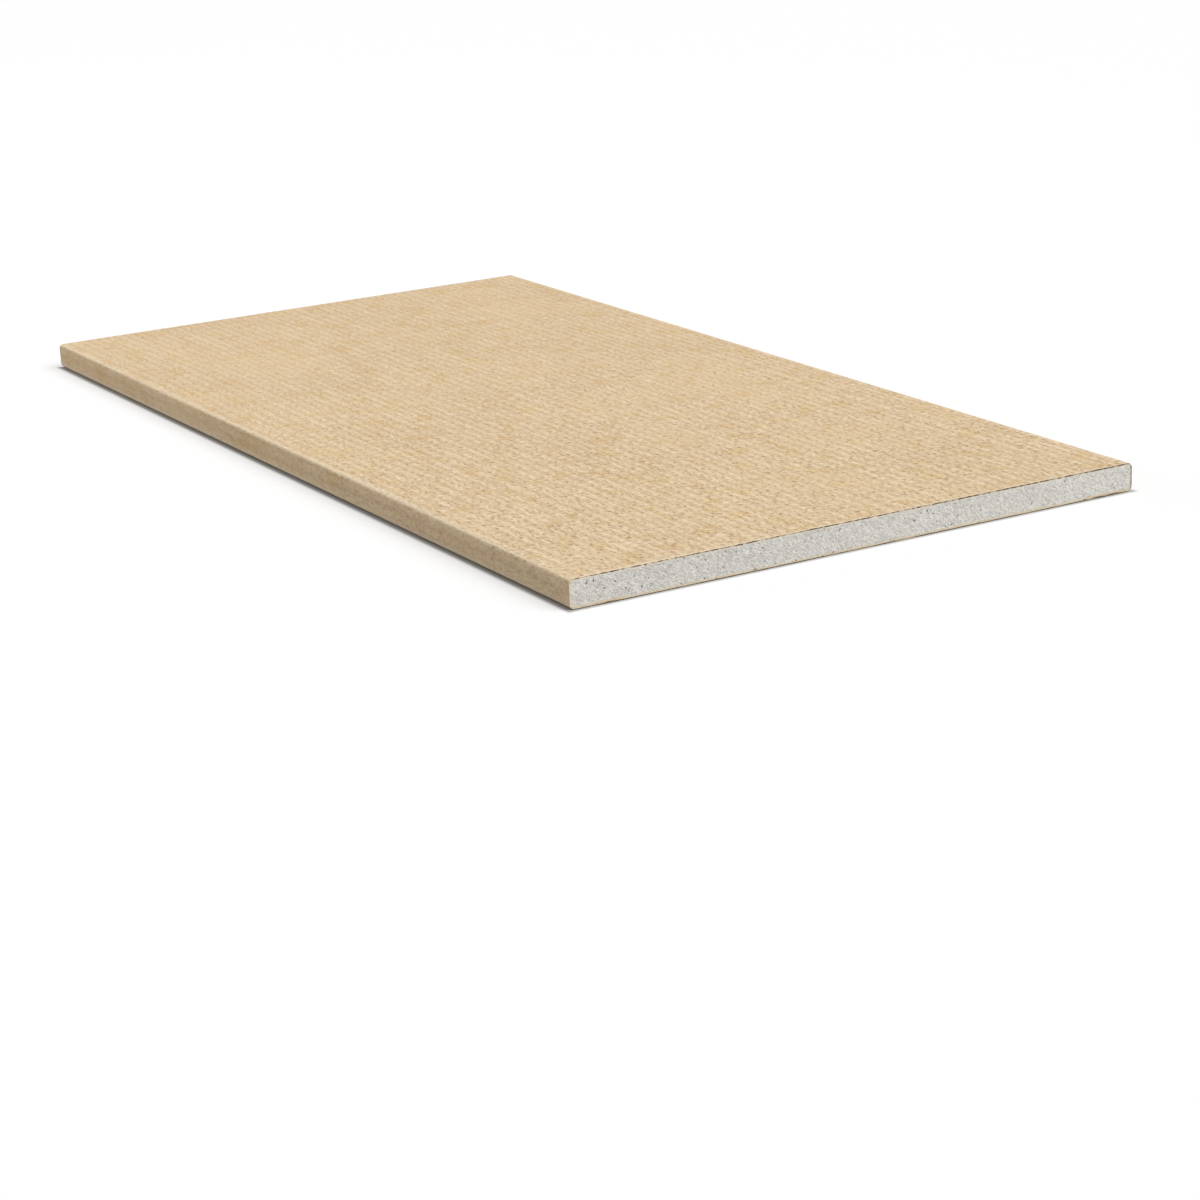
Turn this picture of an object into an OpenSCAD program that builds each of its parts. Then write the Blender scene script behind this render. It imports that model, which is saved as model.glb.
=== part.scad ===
// Paper-faced gypsum board, lying on its back with its face up.
// X runs across the board, Y along its two wrapped long edges, and Z up through its thickness.
// The origin is the middle of the back, on the surface that the board lies on.

/* [Board] */
// Width over the two wrapped long edges
board_w = 275; // [150:1:1250]
// Length between the two cut ends
board_l = 550; // [200:1:3660]
// Thickness over both papers
board_t = 12.7; // [9.5:0.1:25.4]
// Outside radius where the face paper turns round a long edge
edge_r = 2.1; // [1:0.1:4]

/* [Paper] */
// Thickness of the face paper
face_paper_t = 0.4; // [0.2:0.05:0.8]
// Thickness of the back paper
back_paper_t = 0.4; // [0.2:0.05:0.8]
// Width of face paper that is folded under each long edge, on to the back
flap_w = 26; // [18:1:40]
// Width of back paper that is glued over each folded flap
lap_w = 12; // [5:1:15]

/* [Hidden] */
$fn = 64;

paper_colour = "burlywood";
back_colour = "tan";
core_colour = "gainsboro";

// How far a cut, or a piece that is fused on, runs past the face that it meets
overrun = 1;

// The face paper wraps everything but the back paper, which lies below its flaps
wrap_h = board_t - back_paper_t;
// Gap that the two flaps leave between them, where the core shows its own back
flap_gap = board_w - 2 * flap_w;
back_paper_w = flap_gap + 2 * lap_w;

// Upright section, middle of its foot at the origin, with four rounded corners
module rounded_section(width, height, radius) {
    translate([-width / 2, radius])
        square([width, height - 2 * radius]);
    translate([-width / 2 + radius, 0])
        square([width - 2 * radius, height]);
    for (side = [-1, 1], level = [radius, height - radius])
        translate([side * (width / 2 - radius), level])
            circle(r = radius);
}

// Section inside the wrapped face paper, taken in from its outside by an even inset
module wrapped_section(inset) {
    translate([0, back_paper_t + inset])
        rounded_section(board_w - 2 * inset, wrap_h - 2 * inset, edge_r - inset);
}

// Carries an upright section along the whole length of the board, from cut end to cut end
module along_board() {
    rotate([90, 0, 0])
        linear_extrude(height = board_l, center = true)
            children();
}

// Face paper: over the face, round both long edges, and under them as two flaps on the back
module face_paper() {
    color(paper_colour)
        along_board()
            difference() {
                wrapped_section(0);
                wrapped_section(face_paper_t);
                translate([-flap_gap / 2, back_paper_t - overrun])
                    square([flap_gap, face_paper_t + 2 * overrun]);
            }
}

// Core: fills the wrap, and stands level with the flaps between them
module gypsum_core() {
    color(core_colour)
        along_board() {
            wrapped_section(face_paper_t);
            translate([-flap_gap / 2, back_paper_t])
                square([flap_gap, face_paper_t + overrun]);
        }
}

// Back paper: one flat strip over the core, glued down over the inner part of each flap
module back_paper() {
    color(back_colour)
        translate([-back_paper_w / 2, -board_l / 2, 0])
            cube([back_paper_w, board_l, back_paper_t]);
}

gypsum_core();
face_paper();
back_paper();
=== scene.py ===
"""Dresses a paper-faced gypsum board and lights it on a pale floor.

Lengths are metres in the part's own frame: X runs across the board, Y along its wrapped long edges
and Z up through its thickness, from an origin in the middle of its back.
"""

import logging
import math
from dataclasses import dataclass, replace
from enum import Enum
from typing import Self

import bpy
import numpy as np
from mathutils import Matrix, Vector


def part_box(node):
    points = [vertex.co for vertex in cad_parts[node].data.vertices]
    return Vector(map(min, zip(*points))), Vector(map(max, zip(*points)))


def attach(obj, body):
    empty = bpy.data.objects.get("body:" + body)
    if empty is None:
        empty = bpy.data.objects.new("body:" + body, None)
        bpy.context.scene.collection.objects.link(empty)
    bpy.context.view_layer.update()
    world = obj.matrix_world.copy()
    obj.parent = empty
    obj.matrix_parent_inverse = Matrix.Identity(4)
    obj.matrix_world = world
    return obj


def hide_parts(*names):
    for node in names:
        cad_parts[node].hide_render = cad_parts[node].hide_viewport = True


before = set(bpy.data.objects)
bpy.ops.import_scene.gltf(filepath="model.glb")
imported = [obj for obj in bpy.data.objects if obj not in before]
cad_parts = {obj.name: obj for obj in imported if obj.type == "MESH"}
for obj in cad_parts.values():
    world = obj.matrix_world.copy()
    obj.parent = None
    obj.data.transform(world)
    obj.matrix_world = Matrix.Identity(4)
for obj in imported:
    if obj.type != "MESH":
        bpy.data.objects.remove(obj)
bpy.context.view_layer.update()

MM = 0.001
MIDDLE = 0.5
BODY = "root"

Array = np.ndarray
Triple = tuple[float, float, float]
Colour = Triple
log = logging.getLogger("board")


class Piece(Enum):
    """The board's pieces, by the name that a solid and its material slot share."""

    CORE = "gypsum_core"
    FACE = "face_paper"
    BACK = "back_paper"


class End(Enum):
    """The two cut ends, by the way that each one faces along the board."""

    FRONT = -1
    REAR = 1


class Note(Enum):
    """What a mesh remembers at each of its points, from 0 to 1, for the finish to read.

    RIDGE is the height of the paper's relief, ROUGH the strength of its finest crinkles, FLAT says
    whether the paper lies flat rather than round an edge, and WORN how pale it is painted:
    at its frayed ends partly dust and fibres and partly painted highlight, and along the arcs of its
    long edges painted highlight. CUT is 1 on a cut, and SCORCH is how dark that cut is, partly its
    own scorched colour and partly painted shade of the gap at the core and of its contact with the
    floor.
    PORE is the depth in a pore of the core, RIM the nearness of the paper round it, GLUE
    the strength of the dark line between the two, partly glue and partly painted shade of the gap, and
    SMEAR that of the paper's fibres along its foot.
    """

    RIDGE = "ridge"
    ROUGH = "rough"
    FLAT = "flat"
    WORN = "worn"
    CUT = "cut"
    SCORCH = "scorch"
    PORE = "pore"
    RIM = "rim"
    GLUE = "glue"
    SMEAR = "smear"


@dataclass(frozen=True)
class Board:
    """Sizes of the board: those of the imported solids, and two that their boxes don't show."""

    width: float
    length: float
    face_z: float
    core_top_z: float
    flap_z: float
    back_width: float
    edge_radius: float = 2.1 * MM
    flap_width: float = 26 * MM

    @classmethod
    def from_frame(cls) -> "Board":
        """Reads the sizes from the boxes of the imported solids.

        Returns:
            The board's sizes.
        """
        face_low, face_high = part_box(Piece.FACE.value)
        core_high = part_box(Piece.CORE.value)[1]
        back_low, back_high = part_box(Piece.BACK.value)
        return cls(
            width=face_high.x - face_low.x,
            length=face_high.y - face_low.y,
            face_z=face_high.z,
            core_top_z=core_high.z,
            flap_z=face_low.z,
            back_width=back_high.x - back_low.x,
        )

    @property
    def paper_t(self) -> float:
        """Thickness of the face paper."""
        return self.face_z - self.core_top_z

    @property
    def flap_gap(self) -> float:
        """Width between the two flaps, where the core reaches down to the back paper."""
        return self.width - 2 * self.flap_width


def smooth(share: Array) -> Array:
    """Eases a share from 0 to 1 along 3t^2 - 2t^3, held at its ends."""
    held = np.clip(share, 0, 1)
    return held * held * (3 - 2 * held)


def fading(distance: Array, run: Array | float) -> Array:
    """Eases from 1 at a distance of 0 to 0 where the run ends."""
    return 1 - smooth(distance / run)


class Seeded:
    """A pattern over a plane that is drawn from a seed."""

    seed: int

    def for_end(self, end: End) -> Self:
        """The same pattern, drawn anew for one of the cut ends."""
        return replace(self, seed=self.seed + end.value)


@dataclass(frozen=True)
class Unevenness(Seeded):
    """Smooth seeded unevenness over a plane, from random heights on a turned lattice.

    Along a line through the plane only the first pitch counts.
    """

    seed: int
    pitch_x: float
    pitch_y: float = 1.0
    turn: float = 0.0
    corners: int = 256

    def at(self, x: Array, y: Array) -> Array:
        """Height at each point.

        A point's cell has a random height at each of its four corners, and the height of the point
        is their blend, eased both ways.

        Args:
            x: Places along one axis of the plane.
            y: Places along the other axis, of a shape that x can be paired with.
        Returns:
            Heights from -1 to 1.
        """
        heights = np.random.default_rng(self.seed).uniform(-1, 1, (self.corners, self.corners))
        cosine, sine = math.cos(self.turn), math.sin(self.turn)
        across = (x * cosine + y * sine) / self.pitch_x
        along = (y * cosine - x * sine) / self.pitch_y
        column = np.floor(across).astype(int)
        row = np.floor(along).astype(int)
        right, up = smooth(across - column), smooth(along - row)
        low = heights[column % self.corners, row % self.corners] * (1 - right)
        low = low + heights[(column + 1) % self.corners, row % self.corners] * right
        high = heights[column % self.corners, (row + 1) % self.corners] * (1 - right)
        high = high + heights[(column + 1) % self.corners, (row + 1) % self.corners] * right
        return low * (1 - up) + high * up

    def share_at(self, x: Array, y: Array) -> Array:
        """Height at each point, as a share from 0 to 1."""
        return MIDDLE + MIDDLE * self.at(x, y)

    def on_line(self, along: Array) -> Array:
        """Height at each point of a line through the plane."""
        return self.at(along, np.zeros_like(along))


@dataclass(frozen=True)
class Pores(Seeded):
    """Air pores scattered over a plane, at most one to a cell of a square lattice."""

    pitch: float
    least_radius: float
    most_radius: float
    filled_share: float
    seed: int
    most_stretch: float = 2.4
    least_depth: float = 0.3
    corners: int = 512

    def at(self, x: Array, y: Array) -> Array:
        """How deep in a pore each point lies.

        A pore is an ellipse with a random middle, size, stretch, turn and depth. Its depth at a point
        is 1 less the sum of the squares of the point's offsets along its two axes, each in parts of
        the half axis, times its own. A point takes the deepest of the pores of its own cell and the
        eight around it.

        Args:
            x: Places along one axis of the plane.
            y: Places along the other axis.
        Returns:
            Depths from 0 to 1.
        """
        draw = np.random.default_rng(self.seed)
        shape = (self.corners, self.corners)
        middle_x, middle_y = draw.uniform(0, 1, shape), draw.uniform(0, 1, shape)
        spread = self.most_radius / self.least_radius
        radius = self.least_radius * spread ** (draw.uniform(0, 1, shape) ** 2)
        stretch = np.sqrt(draw.uniform(1, self.most_stretch, shape))
        turn = draw.uniform(0, math.pi, shape)
        filled = draw.uniform(0, 1, shape) < self.filled_share
        deep = filled * draw.uniform(self.least_depth, 1, shape)
        column = np.floor(x / self.pitch).astype(int)
        row = np.floor(y / self.pitch).astype(int)
        deepest = np.zeros(np.broadcast(x, y).shape)
        for step in np.ndindex(3, 3):
            i, j = column + step[0] - 1, row + step[1] - 1
            cell = (i % self.corners, j % self.corners)
            off_x = x - (i + middle_x[cell]) * self.pitch
            off_y = y - (j + middle_y[cell]) * self.pitch
            cosine, sine = np.cos(turn[cell]), np.sin(turn[cell])
            long_way = (off_x * cosine + off_y * sine) / (radius[cell] * stretch[cell])
            short_way = (off_y * cosine - off_x * sine) / radius[cell] * stretch[cell]
            deepest = np.maximum(deepest, deep[cell] * (1 - long_way**2 - short_way**2))
        return deepest


@dataclass(frozen=True)
class FlatLayout:
    """How a loft is laid out flat in a unit square, for its finish to be drawn on.

    Faces keep their order: along the path they go up the square, and round the loop they go across
    it. A long path is cut into runs, which lie side by side. The two end faces lie above them.
    """

    along: Array
    around: Array
    runs: int = 1
    name: str = "OFBake"
    run_gap: float = 0.02
    top_share: float = 0.97
    end_starts: tuple[float, float] = (0.25, 0.75)
    end_height: float = 0.2

    def draw(self, mesh: bpy.types.Mesh, loops: Array) -> None:
        """Puts the layout into a mesh, as the place in the square of each corner of each face.

        Args:
            mesh: The loft's mesh, with its end faces last.
            loops: The loft's points.
        """
        faces = len(self.along) - 1
        run = np.arange(faces) * self.runs // faces
        starts = self.along[np.searchsorted(run, np.arange(self.runs))]
        stops = np.append(starts[1:], self.along[-1])
        lengths = (stops - starts)[run]
        low = (self.along[:-1] - starts[run]) / lengths * self.top_share
        high = (self.along[1:] - starts[run]) / lengths * self.top_share
        marks = np.concatenate([[0], np.cumsum(self.around)]) / np.sum(self.around)
        marks = self.run_gap / 2 + marks * (1 - self.run_gap)
        across = (run[:, None] + marks[None, :]) / self.runs
        left, right = across[:, :-1], across[:, 1:]
        low, high = np.broadcast_to(low[:, None], left.shape), np.broadcast_to(high[:, None], left.shape)
        quads = np.stack(
            [
                np.stack([left, low], axis=-1),
                np.stack([left, high], axis=-1),
                np.stack([right, high], axis=-1),
                np.stack([right, low], axis=-1),
            ],
            axis=2,
        )
        rings = (loops[0], loops[-1][::-1])
        ends = [self.end_face(ring, start) for ring, start in zip(rings, self.end_starts)]
        places = np.concatenate([quads.reshape(-1, 2), *ends])
        layer = mesh.uv_layers.new(name=self.name)
        layer.uv.foreach_set("vector", places.astype(np.float32).ravel())

    def end_face(self, ring: Array, start: float) -> Array:
        """Lays one end face flat, by its places along the board and up.

        Args:
            ring: The face's points.
            start: Where it starts in the strip above the runs, as a share of that strip.
        Returns:
            The places of its corners.
        """
        flat = ring[:, 1:] - ring[:, 1:].min(axis=0)
        flat = flat / flat.max(axis=0)
        up = self.top_share + (1 - self.top_share) * (start + flat[:, 1] * self.end_height)
        return np.stack([flat[:, 0], up], axis=1)


SHARP_ANGLE = math.radians(55)


def loft(
    name: str, loops: Array, notes: dict[Note, Array], layout: FlatLayout
) -> bpy.types.Object:
    """Makes a closed mesh from a closed loop of points that is carried along a path.

    Face (i, j) joins points j and j + 1 of loop i to the same points of loop i + 1, and one flat face
    closes the first loop and one the last.

    Args:
        name: Name of the object and its mesh.
        loops: Points, as an array of step along the path, place in the loop, and coordinate.
        notes: What to remember at each point, as arrays of step and place.
        layout: How the mesh is laid out flat.
    Returns:
        The object, with its place in its mesh.
    """
    steps, around, _ = loops.shape
    index = np.arange(steps * around).reshape(steps, around)
    ahead = np.roll(index, -1, axis=1)
    quads = np.stack([index[:-1], index[1:], ahead[1:], ahead[:-1]], axis=-1).reshape(-1, 4)
    faces = [*quads.tolist(), index[0].tolist(), index[-1][::-1].tolist()]
    mesh = bpy.data.meshes.new(name)
    mesh.from_pydata(loops.reshape(-1, 3), [], faces)
    for note, values in notes.items():
        kept = mesh.attributes.new(note.value, "FLOAT", "POINT")
        kept.data.foreach_set("value", np.ascontiguousarray(values, dtype=np.float32).ravel())
    layout.draw(mesh, loops)
    mesh.shade_smooth()
    mesh.set_sharp_from_angle(angle=SHARP_ANGLE)
    piece = bpy.data.objects.new(name, mesh)
    bpy.context.scene.collection.objects.link(piece)
    return piece


class Link:
    """A node's output, on which arithmetic can be written: each operation adds a Math node."""

    def __init__(self, finish: "Nodes", socket: bpy.types.NodeSocket) -> None:
        """Wraps one socket of a node tree."""
        self.finish = finish
        self.socket = socket

    def math(self, operation: str, first: "Operand", second: "Operand") -> "Link":
        """Adds a Math node.

        Args:
            operation: Name of the node's operation.
            first: Its first value or link.
            second: Its second value or link.
        Returns:
            The node's result.
        """
        return self.finish.add("ShaderNodeMath", {"operation": operation}, {0: first, 1: second})

    def __add__(self, other: "Operand") -> "Link":
        """This plus other."""
        return self.math("ADD", self, other)

    def __radd__(self, other: "Operand") -> "Link":
        """Other plus this."""
        return self.math("ADD", other, self)

    def __sub__(self, other: "Operand") -> "Link":
        """This less other."""
        return self.math("SUBTRACT", self, other)

    def __rsub__(self, other: "Operand") -> "Link":
        """Other less this."""
        return self.math("SUBTRACT", other, self)

    def __mul__(self, other: "Operand") -> "Link":
        """This times other."""
        return self.math("MULTIPLY", self, other)

    def __rmul__(self, other: "Operand") -> "Link":
        """Other times this."""
        return self.math("MULTIPLY", other, self)


Operand = Link | float


class Nodes:
    """The node tree of a material or of the world."""

    COLOUR_INPUTS = (6, 7)
    COLOUR_OUTPUT = 2

    def __init__(self, tree: bpy.types.NodeTree) -> None:
        """Empties a node tree, to be filled by this object."""
        self.tree = tree
        self.tree.nodes.clear()

    def add(
        self,
        kind: str,
        settings: dict[str, object] | None = None,
        sockets: dict[int | str, object] | None = None,
        output: int | str = 0,
    ) -> Link | None:
        """Adds a node of any kind.

        Args:
            kind: The node's type.
            settings: Its settings, which are set first.
            sockets: The values or links of its inputs.
            output: The output that is wanted, by number or name.
        Returns:
            That output, or nothing where the node has no outputs.
        """
        node = self.tree.nodes.new(kind)
        for name, value in (settings or {}).items():
            setattr(node, name, value)
        for key, value in (sockets or {}).items():
            if isinstance(value, Link):
                self.tree.links.new(value.socket, node.inputs[key])
            else:
                node.inputs[key].default_value = value
        return Link(self, node.outputs[output]) if node.outputs else None

    def mix(self, share: Operand, first: Link | Colour, second: Link | Colour) -> Link:
        """Mixes two colours.

        Args:
            share: How much of the second colour shows.
            first: Colour or link.
            second: Colour or link.
        Returns:
            The mixed colour.
        """
        settings = {"data_type": "RGBA", "clamp_factor": True}
        low, high = self.COLOUR_INPUTS
        sockets = {0: share, low: self.opaque(first), high: self.opaque(second)}
        return self.add("ShaderNodeMix", settings, sockets, self.COLOUR_OUTPUT)

    @staticmethod
    def opaque(colour: Link | Colour) -> Link | tuple[float, ...]:
        """Gives a plain colour its full alpha, and leaves a link as it is."""
        return colour if isinstance(colour, Link) else (*colour, 1.0)

    def between(self, value: Link, low: float, high: float) -> Link:
        """Eases a value from 0 at low to 1 at high.

        Args:
            value: The value to read.
            low: Where the result is 0.
            high: Where the result is 1.
        Returns:
            The eased share.
        """
        settings = {"interpolation_type": "SMOOTHSTEP"}
        sockets = {"Value": value, "From Min": low, "From Max": high}
        return self.add("ShaderNodeMapRange", settings, sockets)

    def place(self, stretch: Triple = (1, 1, 1), turn: Triple = (0, 0, 0)) -> Link:
        """Places on the piece in metres, on turned axes that a pattern is stretched along."""
        place = self.add("ShaderNodeTexCoord", output="Object")
        sockets = {"Vector": place, "Rotation": turn, "Scale": stretch}
        return self.add("ShaderNodeMapping", {"vector_type": "TEXTURE"}, sockets)

    def cloud(self, place: Link, size: float, detail: float = 1.0) -> Link:
        """Soft noise about 0, mostly from -0.3 to 0.3.

        Args:
            place: Where to read it.
            size: Width of one patch, in metres.
            detail: How many finer octaves it has.
        Returns:
            The noise.
        """
        sockets = {"Vector": place, "Scale": 1 / size, "Detail": detail}
        return self.add("ShaderNodeTexNoise", {}, sockets) - MIDDLE

    def note(self, note: Note) -> Link:
        """What the mesh remembers under that name."""
        return self.add("ShaderNodeAttribute", {"attribute_name": note.value}, {}, "Fac")

    def matte(self, colour: Link, roughness: Link, height: Link, bump: float, gloss: float) -> None:
        """Ends the tree in a matte surface.

        Args:
            colour: Its colour.
            roughness: Its roughness.
            height: Its relief.
            bump: How high a relief of 1 is, in metres.
            gloss: Its level of specular reflection, of which 0.5 is a plain surface's.
        """
        normal = self.add("ShaderNodeBump", {}, {"Height": height, "Distance": bump})
        sockets = {
            "Base Color": colour,
            "Roughness": roughness,
            "Specular IOR Level": gloss,
            "Normal": normal,
        }
        shader = self.add("ShaderNodeBsdfPrincipled", {}, sockets)
        self.add("ShaderNodeOutputMaterial", {}, {"Surface": shader})


def new_material(name: str) -> tuple[bpy.types.Material, Nodes]:
    """Makes an empty material.

    Args:
        name: Its name.
    Returns:
        The material and its node tree.
    """
    material = bpy.data.materials.new(name)
    material.use_nodes = True
    return material, Nodes(material.node_tree)


@dataclass(frozen=True)
class KraftFinish:
    """Matte kraft paper with crinkles, soft patches, short fibres, flecks and a cut edge.

    A tone is how far a pattern moves the paper from dark to pale, and a share is how much of a
    colour or a pattern shows. The ribs and crinkles move it too, paler on their crests and darker in
    their valleys, as painted light and shade of the relief. The long edges get painted shade, and the
    arcs and frayed ends a paler colour, partly wear and dust and partly painted highlight.
    """

    name: str
    dark: Colour
    pale: Colour
    warm: Colour
    golden: Colour
    fleck: Colour
    painted_edge_shade: Colour
    worn: Colour
    cut_pale: Colour
    cut_dark: Colour
    ridge_share: float
    crinkle_share: float
    fibre_share: float
    bump_height: float
    crinkle_size: float = 1.25 * MM
    fibre_size: float = 0.9 * MM
    fleck_size: float = 0.95 * MM
    tint_size: float = 11 * MM
    patch_size: float = 60 * MM
    crinkle_stretch: Triple = (1, 2.1, 1)
    fibre_stretch: Triple = (1, 5, 1)
    fleck_stretch: Triple = (1, 3, 1)
    lean: Triple = (0, 0, 0.12)
    base_tone: float = 0.4
    rough_tone: float = 0.27
    patch_tone: float = 0.3
    tint_tone: float = 0.3
    tint_full: float = 0.25
    crease_share: float = 1.8
    calm_ridge_share: float = 0.3
    warm_share: float = 0.4
    fleck_from: float = 0.1
    fleck_full: float = 0.28
    edge_fleck_share: float = 0.25
    flat_fleck_share: float = 0.5
    painted_edge_shade_share: float = 0.25
    worn_share: float = 0.9
    scorch_fibre: float = 0.4
    fibre_height: float = 0.15
    fibre_roughness: float = 0.2
    roughness: float = 0.84
    gloss: float = 0.22

    def make(self) -> bpy.types.Material:
        """Builds the material.

        Returns:
            The material.
        """
        material, nodes = new_material(self.name)
        place = nodes.place()
        leaning = nodes.place(self.crinkle_stretch, self.lean)
        crinkle = nodes.cloud(leaning, self.crinkle_size, detail=1.5)
        fibre = nodes.cloud(nodes.place(self.fibre_stretch), self.fibre_size)
        tint = nodes.cloud(place, self.tint_size)
        patch = nodes.cloud(place, self.patch_size, detail=2.0)
        flat = nodes.note(Note.FLAT)
        rough = nodes.note(Note.ROUGH)
        ridge = nodes.note(Note.RIDGE) - MIDDLE
        crease = crinkle - crinkle * crinkle * self.crease_share
        ribbed = self.calm_ridge_share + rough * (1 - self.calm_ridge_share)
        # Ribs and crinkles are paler on their crests and darker in their valleys: painted light and
        # shade of the relief, on top of its geometry and bump.
        relief = ridge * ribbed * self.ridge_share + crease * rough * self.crinkle_share
        tone = self.base_tone + rough * self.rough_tone + patch * self.patch_tone - tint * self.tint_tone
        shade = tone + relief + fibre * self.fibre_share
        pale = nodes.mix(nodes.between(tint, 0.0, self.tint_full), self.pale, self.golden)
        paper = nodes.mix(shade, self.dark, pale)
        warmth = nodes.between(patch, 0.0, self.tint_full) * self.warm_share
        paper = nodes.mix(warmth, paper, self.warm)
        specks = nodes.cloud(nodes.place(self.fleck_stretch, self.lean), self.fleck_size, detail=0.0)
        dense = self.edge_fleck_share + flat * self.flat_fleck_share
        flecks = nodes.between(specks, self.fleck_from, self.fleck_full) * rough * dense
        paper = nodes.mix(flecks, paper, self.fleck)
        # Painted shade on the long edges, where the paper turns away from the face.
        paper = nodes.mix((1 - flat) * self.painted_edge_shade_share, paper, self.painted_edge_shade)
        # Paler paper at the frayed ends, partly dust and fibres and partly painted highlight, and
        # painted highlight along the arcs of the long edges.
        paper = nodes.mix(nodes.note(Note.WORN) * (self.worn_share + fibre), paper, self.worn)
        # The cut's dark dashes: partly its own scorched colour, partly painted shade of the gap at the
        # core, and on the back paper painted contact shadow with the floor.
        scorch = nodes.note(Note.SCORCH) + fibre * self.scorch_fibre
        cut = nodes.mix(scorch, self.cut_pale, self.cut_dark)
        colour = nodes.mix(nodes.note(Note.CUT), paper, cut)
        height = crinkle * rough + fibre * self.fibre_height
        roughness = self.roughness + fibre * self.fibre_roughness
        nodes.matte(colour, roughness, height, self.bump_height, self.gloss)
        return material


@dataclass(frozen=True)
class GypsumFinish:
    """Matte aerated gypsum: pale grey, with short strokes, dark pores and a creamy rim.

    A tone is how far a pattern moves the gypsum from dark to pale, across the board per metre, where it
    is painted light that makes the gypsum paler towards the right. The pores are darker the deeper they
    are, partly their own dark specks and partly painted shade.
    """

    name: str = "gypsum"
    dark: Colour = (0.45, 0.433, 0.396)
    pale: Colour = (0.888, 0.862, 0.80)
    pore: Colour = (0.13, 0.125, 0.115)
    rim: Colour = (0.77, 0.675, 0.54)
    glue: Colour = (0.085, 0.047, 0.02)
    smear: Colour = (0.68, 0.54, 0.34)
    grain_size: float = 0.6 * MM
    stroke_size: float = 0.5 * MM
    blotch_size: float = 2.6 * MM
    patch_size: float = 16 * MM
    rise_stretch: Triple = (2.6, 1, 1)
    rise_turn: Triple = (0, -0.8, 0)
    fall_stretch: Triple = (3.6, 1, 1)
    fall_turn: Triple = (0, 0.62, 0)
    rise_share: float = 0.5
    base_tone: float = 0.5
    grain_tone: float = 1.15
    stroke_tone: float = 1.4
    blotch_tone: float = 0.15
    patch_tone: float = 0.15
    painted_light_tone: float = 0.4
    rim_share: float = 0.8
    smear_share: float = 0.9
    pore_full: float = 0.6
    stroke_height: float = 0.4
    grain_roughness: float = 0.15
    roughness: float = 0.9
    gloss: float = 0.18
    bump_height: float = 0.12 * MM

    def make(self) -> bpy.types.Material:
        """Builds the material.

        Returns:
            The material.
        """
        material, nodes = new_material(self.name)
        place = nodes.place()
        patch = nodes.cloud(place, self.patch_size)
        blotch = nodes.cloud(place, self.blotch_size)
        grain = nodes.cloud(place, self.grain_size)
        rising = nodes.cloud(nodes.place(self.rise_stretch, self.rise_turn), self.stroke_size)
        falling = nodes.cloud(nodes.place(self.fall_stretch, self.fall_turn), self.stroke_size)
        strokes = rising * self.rise_share + falling
        # Paler towards the right: painted light.
        across = nodes.add("ShaderNodeSeparateXYZ", {}, {0: place}, "X")
        shade = self.base_tone + grain * self.grain_tone + strokes * self.stroke_tone
        shade = shade + blotch * self.blotch_tone + patch * self.patch_tone + across * self.painted_light_tone
        colour = nodes.mix(shade, self.dark, self.pale)
        colour = nodes.mix(nodes.note(Note.RIM) * (self.rim_share + grain), colour, self.rim)
        colour = nodes.mix(nodes.note(Note.SMEAR) * (self.smear_share + grain), colour, self.smear)
        # Pores get darker the deeper they are: partly their own dark specks, partly painted shade.
        pore = nodes.between(nodes.note(Note.PORE), 0.0, self.pore_full)
        colour = nodes.mix(pore, colour, self.pore)
        # The dark line at the paper: partly glue, partly painted shade of the gap.
        colour = nodes.mix(nodes.note(Note.GLUE), colour, self.glue)
        height = grain + strokes * self.stroke_height
        roughness = self.roughness + grain * self.grain_roughness
        nodes.matte(colour, roughness, height, self.bump_height, self.gloss)
        return material


def dress(piece: bpy.types.Object, stands_for: Piece, material: bpy.types.Material) -> None:
    """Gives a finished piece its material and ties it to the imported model.

    Args:
        piece: The piece.
        stands_for: The solid that it shows in place of.
        material: Its finish.
    """
    piece.data.materials.append(material)
    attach(piece, BODY)
    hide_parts(stands_for.value)


# Dark dashes along a cut, partly scorch and partly painted shade of the gap, which the face paper and
# the dark line under it share
CUT_DASHES = Unevenness(31, 1.1 * MM)


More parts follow.
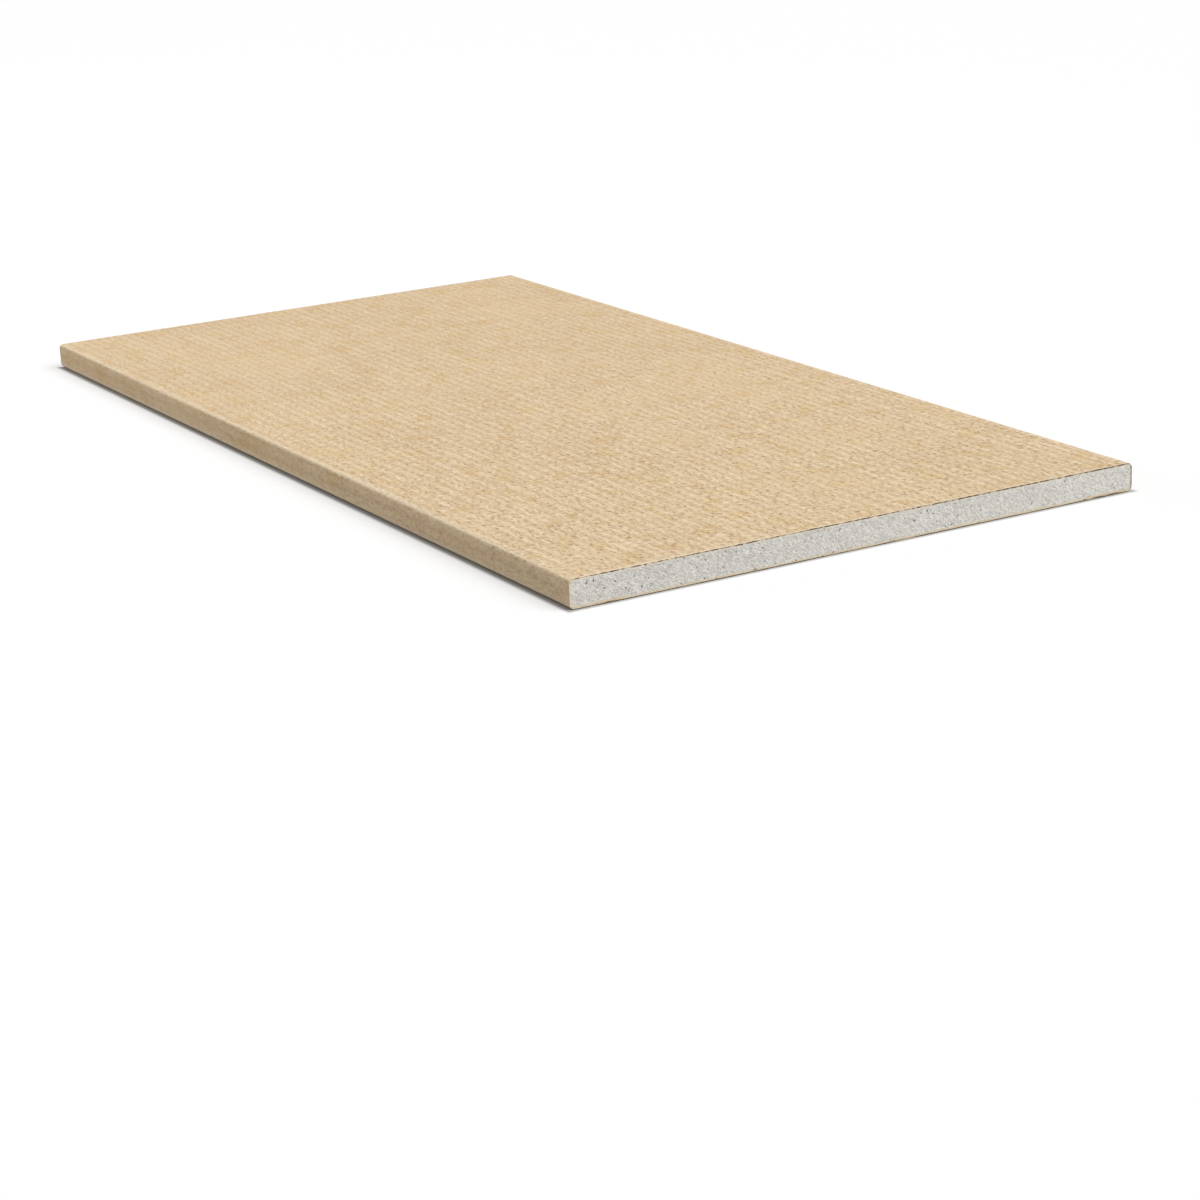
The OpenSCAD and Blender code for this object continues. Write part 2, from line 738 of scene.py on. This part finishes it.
@dataclass
class Paper:
    """A sheet of paper that follows an outline across the board, from cut end to cut end.

    Its cut has nicks and long waves, is fuzzy through the thickness, and frays into pale wisps, partly
    dust and fibres and partly painted highlight, that get weaker towards the right.
    """

    board: Board
    thickness: float
    stations: int
    feather: float
    feather_run: float = 0.6 * MM
    ragged: float = 0.25 * MM
    fray_run: float = 2.2 * MM
    scorch_run: float = 0.5 * MM
    hold_rings: tuple[float, ...] = (0.05 * MM, 0.2 * MM, 0.45 * MM, 0.9 * MM)
    cap_shares: tuple[float, ...] = (0.0, 0.2, 0.6, 1.0)
    cap_darkness: tuple[float, ...] = (0.9, 1.0, 1.0, 1.0)
    cap_width_share: float = 0.008
    calm_share: float = 0.55
    rear_fray: float = 0.2
    nicks: Unevenness = Unevenness(40, 1.7 * MM)
    nick_share: float = 0.35
    waves: Unevenness = Unevenness(45, 23 * MM)
    wave_share: float = 0.15
    fuzz: Unevenness = Unevenness(71, 0.9 * MM, 0.3)
    fuzz_share: float = 0.4
    wisps: Unevenness = Unevenness(77, 1.3 * MM)
    wisp_share: float = 0.25
    wisp_level: float = 0.8
    wisp_fall: float = 0.5

    def outline(self) -> tuple[Array, Array, Array]:
        """Places of the outer face across the board.

        Returns:
            Distances along the outline, its points in X and Z, and its outward normals.
        """
        raise NotImplementedError

    def height(self, along: Array, y: Array) -> Array:
        """Height of the paper's relief, from 0 in its lowest valley to 1 on its highest ridge.

        Args:
            along: Distances along the outline.
            y: Places along the board.
        Returns:
            Heights.
        """
        raise NotImplementedError

    def flatness(self, along: Array) -> Array:
        """How flat the paper lies at each distance along the outline."""
        raise NotImplementedError

    def arc_highlight(self, along: Array) -> Array:
        """How much highlight is painted on the paper at each distance along the outline."""
        return np.zeros_like(along)

    def depth(self, along: Array) -> Array:
        """Depth of the relief's lowest valley at each distance along the outline."""
        raise NotImplementedError

    def scorch(self, along: Array, points: Array) -> Array:
        """How dark the cut edge is at each place of the outline, partly its own scorched colour and
        partly painted shade.

        Args:
            along: Distances along the outline.
            points: The outline's points.
        Returns:
            Shares from 0, pale, to 1, dark.
        """
        raise NotImplementedError

    def ends(self, along: Array) -> dict[End, Array]:
        """Where the paper is cut at each end, a little raggedly, along the outline.

        Args:
            along: Distances along the outline.
        Returns:
            Places in Y for each end.
        """
        cut = {}
        for end in End:
            nicks = self.nick_share * self.nicks.for_end(end).on_line(along)
            waves = self.wave_share * self.waves.for_end(end).on_line(along)
            short = self.ragged * (MIDDLE + nicks + waves)
            cut[end] = end.value * (self.board.length / 2 - short)
        return cut

    def shares(self) -> tuple[Array, Array]:
        """Places of the outer points between the cut ends, closer together next to them.

        Returns:
            Shares of the length, and the same rings as distances from the nearer end.
        """
        rings = np.array((0.0, *self.hold_rings)) / self.board.length
        inner = np.linspace(0, 1, self.stations)[1:-1]
        share = np.concatenate([rings, inner, 1 - rings[::-1]])
        return share, np.minimum(share, 1 - share) * self.board.length

    def build(self, name: str) -> bpy.types.Object:
        """Builds the sheet as a closed loop, along the board and back, carried along the outline.

        A loop's outer points lie below the outline by the relief, and by a feather that eases in
        next to the cut ends. At each cut end the points go down through the thickness, and one
        straight run along the inner face closes the loop.

        Args:
            name: Name of the piece.
        Returns:
            The piece.
        """
        along, points, normals = self.outline()
        cut = self.ends(along)
        share, from_end = self.shares()
        y = cut[End.FRONT][:, None] * (1 - share) + cut[End.REAR][:, None] * share
        ridge = self.height(along[:, None], y)
        below = self.depth(along)[:, None] * (1 - ridge)
        below = below + self.feather * fading(from_end, self.feather_run)
        rows = np.array(self.cap_shares[1:])

        def cap(end: End, outer: Array) -> tuple[Array, Array]:
            """Places in Y and depths of the rows through the thickness at one end."""
            fuzz = np.abs(self.fuzz.for_end(end).at(along[:, None], rows))
            inset = self.ragged * self.fuzz_share * fuzz * np.sin(np.pi * rows)
            through = outer[:, None] * (1 - rows) + self.thickness * rows
            return cut[end][:, None] - end.value * inset, through

        rear_y, rear_below = cap(End.REAR, below[:, -1])
        front_y, front_below = cap(End.FRONT, below[:, 0])
        loop_y = np.concatenate([y, rear_y, front_y[:, ::-1]], axis=1)
        loop_below = np.concatenate([below, rear_below, front_below[:, ::-1]], axis=1)
        loops = np.empty((*loop_y.shape, 3))
        loops[..., 0] = points[:, :1] - normals[:, :1] * loop_below
        loops[..., 1] = loop_y
        loops[..., 2] = points[:, 1:] - normals[:, 1:] * loop_below
        return loft(name, loops, self.notes(along, points, ridge), self.layout(along, share))

    def notes(self, along: Array, points: Array, ridge: Array) -> dict[Note, Array]:
        """What the sheet remembers at each of its points.

        Args:
            along: Distances along the outline.
            points: The outline's points.
            ridge: Heights of the relief at the outer points.
        Returns:
            An array of step along the outline and place in the loop, for each note.
        """
        share, from_end = self.shares()
        rim, *rows = self.cap_darkness
        caps = np.ones((len(along), 2 * len(rows)))
        none = np.zeros_like(caps)
        dark = self.scorch(along, points)[:, None]
        flat = np.broadcast_to(self.flatness(along)[:, None], ridge.shape)
        ends = np.maximum(from_end == 0, fading(from_end, self.scorch_run) * flat)
        wisps = self.wisp_level + self.wisp_share * self.wisps.on_line(along)
        wisps = wisps - self.wisp_fall * points[:, 0] / self.board.width
        # Pale fray at the cut ends, partly dust and fibres and partly painted highlight, with painted
        # highlight along the arcs.
        fray = fading(from_end, self.fray_run) * np.where(share < MIDDLE, 1, self.rear_fray)
        worn = np.maximum(fray * wisps[:, None] * flat, self.arc_highlight(along)[:, None])
        rough = np.broadcast_to(1 - self.calm_share * smooth(share), ridge.shape)
        return {
            Note.RIDGE: np.concatenate([ridge, MIDDLE * caps], axis=1),
            Note.ROUGH: np.concatenate([rough, caps], axis=1),
            Note.FLAT: np.concatenate([flat, none], axis=1),
            Note.WORN: np.concatenate([worn, none], axis=1),
            Note.CUT: np.concatenate([ends, caps], axis=1),
            Note.SCORCH: dark * np.concatenate([np.full_like(share, rim), rows, rows[::-1]]),
        }

    def layout(self, along: Array, share: Array) -> FlatLayout:
        """Lays the sheet flat, with a narrow strip for each row of a cut and for the inner face.

        Args:
            along: Distances along the outline.
            share: Places of the outer points between the cut ends.
        Returns:
            The layout.
        """
        strips = np.full(2 * len(self.cap_shares) - 1, self.cap_width_share)
        return FlatLayout(along, np.concatenate([np.diff(share), strips]))


@dataclass
class FacePaper(Paper):
    """Face paper: over the face, round both long edges, and under them as two flaps.

    Places of bend and of the painted highlight on the arcs are shares of a quarter arc, and those of
    the paler left edge are shares of the board's width.
    """

    face_step: float = 1.0 * MM
    rib_pitch: float = 5.2 * MM
    relief_depth: float = 0.16 * MM
    edge_depth_share: float = 0.25
    arc_faces: int = 7
    edge_faces: int = 6
    flap_faces: int = 8
    wander: Unevenness = Unevenness(11, 12 * MM, 150 * MM)
    wander_turns: float = 0.42
    breaks: Unevenness = Unevenness(12, 6 * MM, 11 * MM, turn=0.3)
    unbroken_share: float = 0.45
    crinkles: Unevenness = Unevenness(13, 2.4 * MM, 4.2 * MM, turn=-0.5)
    rib_share: float = 0.85
    bend_start: float = 0.35
    # Painted highlight along the arcs of the long edges, stronger on the left.
    left_highlight_share: float = 0.8
    right_highlight_share: float = 0.2
    upper_highlight_at: float = 0.32
    lower_highlight_at: float = 1.2
    highlight_reach: float = 0.43
    dark_share: float = 0.74
    dash_share: float = 0.65
    slant_share: float = 0.35
    foot_share: float = 0.5
    left_share: float = 0.7
    left_start: float = 0.49
    left_run: float = 0.008

    def lengths(self) -> tuple[float, ...]:
        """Lengths of half of the outline: half of the face, an arc, an edge, an arc and a flap."""
        radius = self.board.edge_radius
        quarter = radius * math.pi / 2
        side = self.board.face_z - self.board.flap_z - 2 * radius
        return self.board.width / 2 - radius, quarter, side, quarter, self.board.flap_width - radius

    def outline(self) -> tuple[Array, Array, Array]:
        """The wrapped outline, from the free edge of the left flap to that of the right one.

        At a distance d from the middle of the face, the outline has run along a flat, turned through
        two quarter arcs with a flat between them, and run back along a flap. Each part's own length
        is d less the parts before it, held between 0 and its full length, and the point is the sum
        of what the parts have moved it.

        Returns:
            Signed distances from the middle of the face, points in X and Z, and outward normals.
        """
        radius = self.board.edge_radius
        lengths = self.lengths()
        face = round(lengths[0] / self.face_step)
        counts = (face, self.arc_faces, self.edge_faces, self.arc_faces, self.flap_faces)
        marks = np.cumsum((0.0, *lengths))
        half = np.concatenate(
            [np.linspace(a, b, n, endpoint=False) for a, b, n in zip(marks, marks[1:], counts)]
        )
        half = np.append(half, marks[-1])
        along = np.concatenate([-half[:0:-1], half])
        run = np.abs(along)
        part = [np.clip(run - start, 0, size) for start, size in zip(marks, lengths)]
        first, second = part[1] / radius, part[3] / radius
        x = part[0] + radius * np.sin(first) - radius * (1 - np.cos(second)) - part[4]
        z = self.board.face_z - radius * (1 - np.cos(first)) - part[2] - radius * np.sin(second)
        way = np.sign(along)
        turn = first + second
        points = np.stack([way * x, z], axis=1)
        normals = np.stack([way * np.sin(turn), np.cos(turn)], axis=1)
        return along, points, normals

    def height(self, along: Array, y: Array) -> Array:
        """Ribs along the board that wander a little, broken up and crinkled.

        A rib is half of 1 plus the cosine of its place across, in turns of the rib pitch.

        Args:
            along: Distances along the outline.
            y: Places along the board.
        Returns:
            Heights from 0 to 1.
        """
        wander = self.wander_turns * self.wander.at(along, y)
        rib = MIDDLE + MIDDLE * np.cos(2 * math.pi * (along / self.rib_pitch + wander))
        whole = self.unbroken_share + (1 - self.unbroken_share) * self.breaks.share_at(along, y)
        crinkle = self.crinkles.share_at(along, y)
        return self.rib_share * rib * whole + (1 - self.rib_share) * crinkle

    def flatness(self, along: Array) -> Array:
        """1 on the face, eased to 0 round the long edges and on the flaps."""
        flat, quarter, _, _, _ = self.lengths()
        bend = np.abs(along) - flat - quarter * self.bend_start
        return fading(bend, quarter * (1 - self.bend_start))

    def arc_highlight(self, along: Array) -> Array:
        """Painted highlight along the two arcs of each long edge, more on the left, and eased to 0
        beside them.

        Args:
            along: Distances along the outline.
        Returns:
            Shares from 0 to 1.
        """
        flat, quarter, side, _, _ = self.lengths()
        run = np.abs(along)
        upper = np.abs(run - flat - quarter * self.upper_highlight_at)
        lower = np.abs(run - flat - side - quarter * self.lower_highlight_at)
        highlit = fading(np.minimum(upper, lower), quarter * self.highlight_reach)
        return highlit * np.where(along < 0, self.left_highlight_share, self.right_highlight_share)

    def depth(self, along: Array) -> Array:
        """The full depth on the face, eased to a part of it round the long edges."""
        off_face = 1 - self.flatness(along)
        return self.relief_depth * (1 - (1 - self.edge_depth_share) * off_face)

    def scorch(self, along: Array, points: Array) -> Array:
        """Dark dashes over the face, partly scorch and partly painted shade of the gap at the core,
        darker towards the right, and a paler left edge and foot.

        Args:
            along: Distances along the outline.
            points: The outline's points.
        Returns:
            Shares from 0, pale, to 1, dark.
        """
        across = points[:, 0] / self.board.width
        half_height = self.board.face_z / 2
        foot = smooth((half_height - points[:, 1]) / half_height)
        left = smooth((-across - self.left_start) / self.left_run)
        dark = self.dark_share + self.dash_share * CUT_DASHES.on_line(along) + self.slant_share * across
        return np.clip(dark - self.foot_share * foot - self.left_share * left, 0, 1)


@dataclass
class BackPaper(Paper):
    """Back paper: one flat strip over the back, glued over the inner part of each flap."""

    step: float = 2.2 * MM
    relief_depth: float = 0.06 * MM
    cap_shares: tuple[float, ...] = (0.0, 0.4, 0.75, 1.0)
    # Its cut is painted dark towards the foot: painted contact shadow with the floor.
    cap_darkness: tuple[float, ...] = (1.0, 1.0, 1.0, 0.5)
    calm_share: float = 0.0
    coarse: Unevenness = Unevenness(21, 9 * MM, 15 * MM, turn=0.4)
    fine: Unevenness = Unevenness(22, 4.6 * MM, 8 * MM, turn=-0.8)
    dashes: Unevenness = Unevenness(32, 5.5 * MM)
    dark_share: float = 0.85
    dash_share: float = 0.35

    def outline(self) -> tuple[Array, Array, Array]:
        """A straight outline along the back, from right to left, so that it faces down.

        Returns:
            Distances from the middle, points in X and Z, and outward normals.
        """
        half = self.board.back_width / 2
        along = np.linspace(-half, half, round(self.board.back_width / self.step))
        points = np.stack([-along, np.zeros_like(along)], axis=1)
        normals = np.stack([np.zeros_like(along), -np.ones_like(along)], axis=1)
        return along, points, normals

    def height(self, along: Array, y: Array) -> Array:
        """A soft even crinkle, the mean of a coarse one and a fine one."""
        return (self.coarse.share_at(along, y) + self.fine.share_at(along, y)) / 2

    def flatness(self, along: Array) -> Array:
        """1 all over."""
        return np.ones_like(along)

    def depth(self, along: Array) -> Array:
        """An even depth all over."""
        return np.full_like(along, self.relief_depth)

    def scorch(self, along: Array, points: Array) -> Array:
        """Dark dashes along the foot: painted contact shadow where the back paper meets the floor."""
        return np.clip(self.dark_share + self.dash_share * self.dashes.on_line(along), 0, 1)


@dataclass
class GypsumCore:
    """The cast core: a section with rounded long edges, and two sawn ends full of pores.

    Towards the right its dark line at the paper, partly glue and partly painted shade of the gap, gets
    wider and darker, and its pores get shallower.
    """

    board: Board
    column_step: float = 0.28 * MM
    rows: int = 38
    arc_columns: int = 9
    edge_rows: tuple[float, ...] = (0.0, 0.1 * MM, 0.22 * MM, 0.4 * MM)
    saw_inset: float = 0.12 * MM
    roughness_depth: float = 0.12 * MM
    pore_depth: float = 0.5 * MM
    rim_width: float = 1.1 * MM
    glue_width: float = 0.42 * MM
    glue_depth: float = 0.2 * MM
    smear_width: float = 1.2 * MM
    step_run: float = 0.12 * MM
    runs: int = 4
    hidden_width_share: float = 0.03
    glue_share: float = 0.55
    glue_slant: float = 0.35
    glue_spread: float = 0.6
    right_glue_share: float = 0.65
    smears: Unevenness = Unevenness(37, 3.5 * MM, 2.1 * MM)
    smear_share: float = 0.8
    smear_dash_share: float = 0.4
    warp: Unevenness = Unevenness(60, 0.8 * MM, 0.8 * MM)
    lift: Unevenness = Unevenness(62, 0.8 * MM, 0.8 * MM)
    warp_reach: float = 0.22 * MM
    pits: Pores = Pores(
        pitch=4.0 * MM,
        least_radius=0.32 * MM,
        most_radius=0.62 * MM,
        filled_share=0.75,
        seed=64,
        most_stretch=3.6,
    )
    dents: Pores = Pores(
        pitch=1.9 * MM,
        least_radius=0.24 * MM,
        most_radius=0.45 * MM,
        filled_share=0.6,
        seed=66,
        most_stretch=4.5,
    )
    dent_share: float = 0.4
    shallow_share: float = 0.4
    grit: Unevenness = Unevenness(68, 0.9 * MM, 0.9 * MM, turn=0.6)

    @property
    def half_width(self) -> float:
        """Half of the core's width."""
        return self.board.width / 2 - self.board.paper_t

    @property
    def radius(self) -> float:
        """Radius of the core's corners."""
        return self.board.edge_radius - self.board.paper_t

    def columns(self) -> Array:
        """Places of the upright columns across the core, close together round its long edges.

        Returns:
            Places in X, with a pair at each side of the step that a flap lies in.
        """
        turn = np.linspace(0, math.pi / 2, self.arc_columns)
        arc = self.half_width - self.radius * (1 - np.cos(turn))
        inner = self.half_width - self.radius
        flat = np.linspace(-inner, inner, round(2 * inner / self.column_step))[1:-1]
        step = self.board.flap_gap / 2 + np.array([-1, 1]) * self.step_run / 2
        return np.sort(np.concatenate([-arc, flat, arc, -step, step]))

    def section(self, x: Array) -> tuple[Array, Array]:
        """Lowest and highest point of the section at each place across.

        Within a radius of a long edge, the section's corner is a quarter arc: the radius less the
        root of radius^2 - (radius - distance from the edge)^2 is cut off it.

        Args:
            x: Places across the core.
        Returns:
            The low and high places in Z.
        """
        into_arc = np.clip(self.radius - (self.half_width - np.abs(x)), 0, self.radius)
        cut_off = self.radius - np.sqrt(self.radius**2 - into_arc**2)
        beside_flap = np.abs(x) > self.board.flap_gap / 2
        low = self.board.flap_z + np.where(beside_flap, self.board.paper_t, 0) + cut_off
        return low, self.board.core_top_z - cut_off

    def levels(self) -> Array:
        """Heights of the rows as shares of the section, closer together next to the papers."""
        full = self.board.core_top_z - self.board.flap_z
        edge = np.array(self.edge_rows) / full
        inner = np.linspace(edge[-1], 1 - edge[-1], self.rows)[1:-1]
        return np.concatenate([edge, inner, 1 - edge[::-1]])

    def build(self, name: str) -> bpy.types.Object:
        """Builds the core as a closed loop, up one sawn end and down the other, carried across.

        A point of an end lies behind the saw's plane by an even roughness, by the depth of the pore
        that it is in, and by the depth of the crumbled glue line at the paper.

        Args:
            name: Name of the piece.
        Returns:
            The piece.
        """
        x = self.columns()[:, None]
        low, high = self.section(x)
        levels = self.levels()
        z = low * (1 - levels) + high * levels
        from_side = self.half_width - np.abs(x)
        rim = fading(np.minimum(np.minimum(z - low, high - z), from_side), self.rim_width)
        glue = self.glue_line(x, z, high)
        faces, pores = {}, {}
        for end in End:
            inset, pores[end] = self.sawn(x, z, end)
            y = end.value * (self.board.length / 2 - inset - self.glue_depth * glue)
            faces[end] = np.stack([np.broadcast_to(x, z.shape), y, z], axis=-1)

        def looped(front: Array, rear: Array) -> Array:
            """Joins the rows of both ends in the order of the loop."""
            return np.concatenate([front, rear[:, ::-1]], axis=1)

        smear = self.smear_line(x, z, low)
        notes = {
            Note.PORE: looped(pores[End.FRONT], pores[End.REAR]),
            Note.RIM: looped(rim, rim),
            Note.GLUE: looped(glue, glue),
            Note.SMEAR: looped(smear, smear),
        }
        rows = np.append(np.diff(levels), self.hidden_width_share)
        layout = FlatLayout(x[:, 0], np.concatenate([rows, rows]), self.runs)
        return loft(name, looped(faces[End.FRONT], faces[End.REAR]), notes, layout)

    def glue_line(self, x: Array, z: Array, high: Array) -> Array:
        """Strength of the dark, broken line where the core meets the paper on its top and right: partly
        glue and partly painted shade of the gap there.

        Args:
            x: Places across.
            z: Places up.
            high: Highest place of the section at each x.
        Returns:
            Shares from 0 to 1.
        """
        across = x / self.board.width
        top = fading(high - z, self.glue_width * (1 + self.glue_spread * across))
        right = fading(self.half_width - x, self.glue_width)
        dashes = CUT_DASHES.on_line(x + self.board.core_top_z - z)
        dark = np.clip(self.glue_share + dashes + self.glue_slant * across, 0, 1)
        return np.maximum(top, self.right_glue_share * right) * dark

    def smear_line(self, x: Array, z: Array, low: Array) -> Array:
        """Strength of the tan line of paper fibres that the saw drags over the core's foot.

        Args:
            x: Places across.
            z: Places up.
            low: Lowest place of the section at each x.
        Returns:
            Shares from 0 to 1.
        """
        dashes = self.smear_dash_share * self.smears.at(x, z)
        return fading(z - low, self.smear_width) * np.clip(self.smear_share + dashes, 0, 1)

    def sawn(self, x: Array, z: Array, end: End) -> tuple[Array, Array]:
        """Surface of one sawn end.

        Args:
            x: Places across.
            z: Places up.
            end: Which end.
        Returns:
            Depths behind the plane of the cut, and how deep in a pore each point is.
        """
        warp_x = x + self.warp_reach * self.warp.for_end(end).at(x, z)
        warp_z = z + self.warp_reach * self.lift.for_end(end).at(x, z)
        pits = self.pits.for_end(end).at(warp_x, warp_z)
        dents = self.dents.for_end(end).at(warp_x, warp_z)
        shallow = 1 - self.shallow_share * smooth(MIDDLE + x / (2 * self.half_width))
        pore = np.maximum(pits, self.dent_share * dents) * shallow
        rough = self.grit.for_end(end).share_at(x, z)
        return self.saw_inset + self.roughness_depth * rough + self.pore_depth * pore, pore


@dataclass(frozen=True)
class Studio:
    """A pale floor, soft light from the front and right with a weak fill from behind, and the camera."""

    board: Board
    floor_size: float = 24.0
    floor_colour: Colour = (0.5, 0.5, 0.5)
    floor_lift: float = 0.52
    contact_run: float = 3 * MM
    sky_level: float = 0.42
    key_level: float = 2.35
    key_from: Triple = (0.39, -0.595, 0.70)
    key_spread: float = math.radians(50)
    fill_power: float = 2.7
    fill_size: float = 0.5
    fill_at: Triple = (-0.95, 0.85, 0.38)
    lens: float = 92.44
    sensor: float = 36.0
    camera_at: Triple = (-0.6798, -1.2653, 0.3507)
    azimuth: float = math.radians(-29.295)
    elevation: float = math.radians(17.073)
    roll: float = math.radians(-2.681)

    def build(self) -> None:
        """Builds the floor, the light and the camera, and sets how the picture is shown."""
        self.lay_floor()
        self.set_sky()
        self.hang_lamps()
        self.set_camera()
        bpy.context.scene.view_settings.view_transform = "Standard"

    def lay_floor(self) -> None:
        """Lays a flat floor that looks nearly white to the camera and keeps the board's shadow, and
        paints a contact shadow round the board by dimming its glow there.
        """
        side = self.floor_size / 2 * np.array([-1.0, 1.0])
        x, y = np.meshgrid(side, side)
        corners = np.stack([x, y, np.zeros_like(x)], axis=-1).reshape(-1, 3)
        mesh = bpy.data.meshes.new("floor")
        mesh.from_pydata(corners, [], [(0, 1, 3, 2)])
        floor = bpy.data.objects.new("floor", mesh)
        bpy.context.scene.collection.objects.link(floor)
        material, nodes = new_material("pale_floor")
        # Taking the glow away under and round the board paints a contact shadow there.
        lift = self.seen_straight(nodes) * self.clear_of_board(nodes)
        shader = nodes.add(
            "ShaderNodeBsdfPrincipled",
            {},
            {
                "Base Color": (*self.floor_colour, 1.0),
                "Roughness": 1.0,
                "Specular IOR Level": 0.0,
                "Emission Color": nodes.mix(lift, (0.0, 0.0, 0.0), (self.floor_lift,) * 3),
                "Emission Strength": 1.0,
            },
        )
        nodes.add("ShaderNodeOutputMaterial", {}, {"Surface": shader})
        mesh.materials.append(material)

    def clear_of_board(self, nodes: Nodes) -> Link:
        """Share of the floor's glow that is 1 on the open floor and eases to 0 below the board, which
        paints a contact shadow round it.

        Args:
            nodes: The floor's node tree.
        Returns:
            The share.
        """
        place = nodes.place()
        beyond = []
        for axis, half in (("X", self.board.width / 2), ("Y", self.board.length / 2)):
            along = nodes.add("ShaderNodeSeparateXYZ", {}, {0: place}, axis)
            beyond.append(along.math("ABSOLUTE", along, 0.0) - half)
        outside = beyond[0].math("MAXIMUM", *beyond)
        return nodes.between(outside, 0.0, self.contact_run)

    @staticmethod
    def seen_straight(nodes: Nodes) -> Link:
        """Share that is 1 where the camera sees a surface itself, or in gloss or through glass."""
        straight = nodes.add("ShaderNodeLightPath", output="Is Camera Ray")
        glossy = nodes.add("ShaderNodeLightPath", output="Is Glossy Ray")
        through = nodes.add("ShaderNodeLightPath", output="Is Transmission Ray")
        return straight + glossy + through

    def set_sky(self) -> None:
        """Sets an even sky that is white to the camera."""
        world = bpy.data.worlds.new("sky")
        world.use_nodes = True
        bpy.context.scene.world = world
        nodes = Nodes(world.node_tree)
        sky = (self.sky_level,) * 3
        colour = nodes.mix(self.seen_straight(nodes), sky, (1.0, 1.0, 1.0))
        shader = nodes.add("ShaderNodeBackground", {}, {"Color": colour, "Strength": 1.0})
        nodes.add("ShaderNodeOutputWorld", {}, {"Surface": shader})

    def hang_lamps(self) -> None:
        """Hangs a wide soft key lamp and a weak fill lamp that is turned to the board."""
        key = bpy.data.lights.new("key", "SUN")
        key.energy = self.key_level
        key.angle = self.key_spread
        fill = bpy.data.lights.new("fill", "AREA")
        fill.energy = self.fill_power
        fill.size = self.fill_size
        for lamp, place in ((key, self.key_from), (fill, self.fill_at)):
            hung = bpy.data.objects.new(lamp.name, lamp)
            hung.location = place
            hung.rotation_euler = Vector(place).to_track_quat("Z", "Y").to_euler()
            bpy.context.scene.collection.objects.link(hung)

    def set_camera(self) -> None:
        """Places the camera at the picture's viewing angle, with no shift."""
        across, up = math.cos(self.elevation), math.sin(self.elevation)
        back = Vector((math.sin(self.azimuth) * across, -math.cos(self.azimuth) * across, up))
        data = bpy.data.cameras.new("camera")
        data.lens = self.lens
        data.sensor_width = self.sensor
        camera = bpy.data.objects.new("camera", data)
        turn = back.to_track_quat("Z", "Y").to_matrix() @ Matrix.Rotation(self.roll, 3, "Z")
        camera.rotation_euler = turn.to_euler()
        camera.location = self.camera_at
        bpy.context.scene.collection.objects.link(camera)
        bpy.context.scene.camera = camera


def report(piece: bpy.types.Object) -> None:
    """Logs a piece's name and how many faces it has."""
    log.info("%s: %d faces", piece.name, len(piece.data.polygons))


def main() -> None:
    """Builds the board's pieces, dresses them, and sets the scene."""
    logging.basicConfig(level=logging.INFO, format="%(message)s")
    board = Board.from_frame()
    face_finish = KraftFinish(
        "face_kraft",
        dark=(0.548, 0.375, 0.208),
        pale=(0.885, 0.714, 0.489),
        warm=(0.75, 0.555, 0.325),
        golden=(0.88, 0.67, 0.375),
        fleck=(0.37, 0.215, 0.105),
        painted_edge_shade=(0.53, 0.375, 0.20),
        worn=(0.92, 0.778, 0.575),
        cut_pale=(0.80, 0.66, 0.47),
        cut_dark=(0.075, 0.04, 0.016),
        ridge_share=0.56,
        crinkle_share=1.52,
        fibre_share=0.88,
        bump_height=0.5 * MM,
    )
    back_finish = KraftFinish(
        "back_kraft",
        dark=(0.40, 0.295, 0.18),
        pale=(0.72, 0.56, 0.38),
        warm=(0.58, 0.43, 0.26),
        golden=(0.72, 0.53, 0.31),
        fleck=(0.37, 0.265, 0.16),
        painted_edge_shade=(0.40, 0.295, 0.18),
        worn=(0.68, 0.54, 0.37),
        cut_pale=(0.68, 0.54, 0.34),
        cut_dark=(0.07, 0.052, 0.035),
        ridge_share=0.2,
        crinkle_share=0.9,
        fibre_share=0.4,
        bump_height=0.15 * MM,
    )
    core = GypsumCore(board).build("cast_core")
    dress(core, Piece.CORE, GypsumFinish().make())
    face = FacePaper(board, board.paper_t, stations=276, feather=0.05 * MM).build("wrapped_face_paper")
    dress(face, Piece.FACE, face_finish.make())
    back = BackPaper(board, board.flap_z, stations=160, feather=0.04 * MM).build("lapped_back_paper")
    dress(back, Piece.BACK, back_finish.make())
    for piece in (core, face, back):
        report(piece)
    Studio(board).build()


if __name__ == "__main__":
    main()
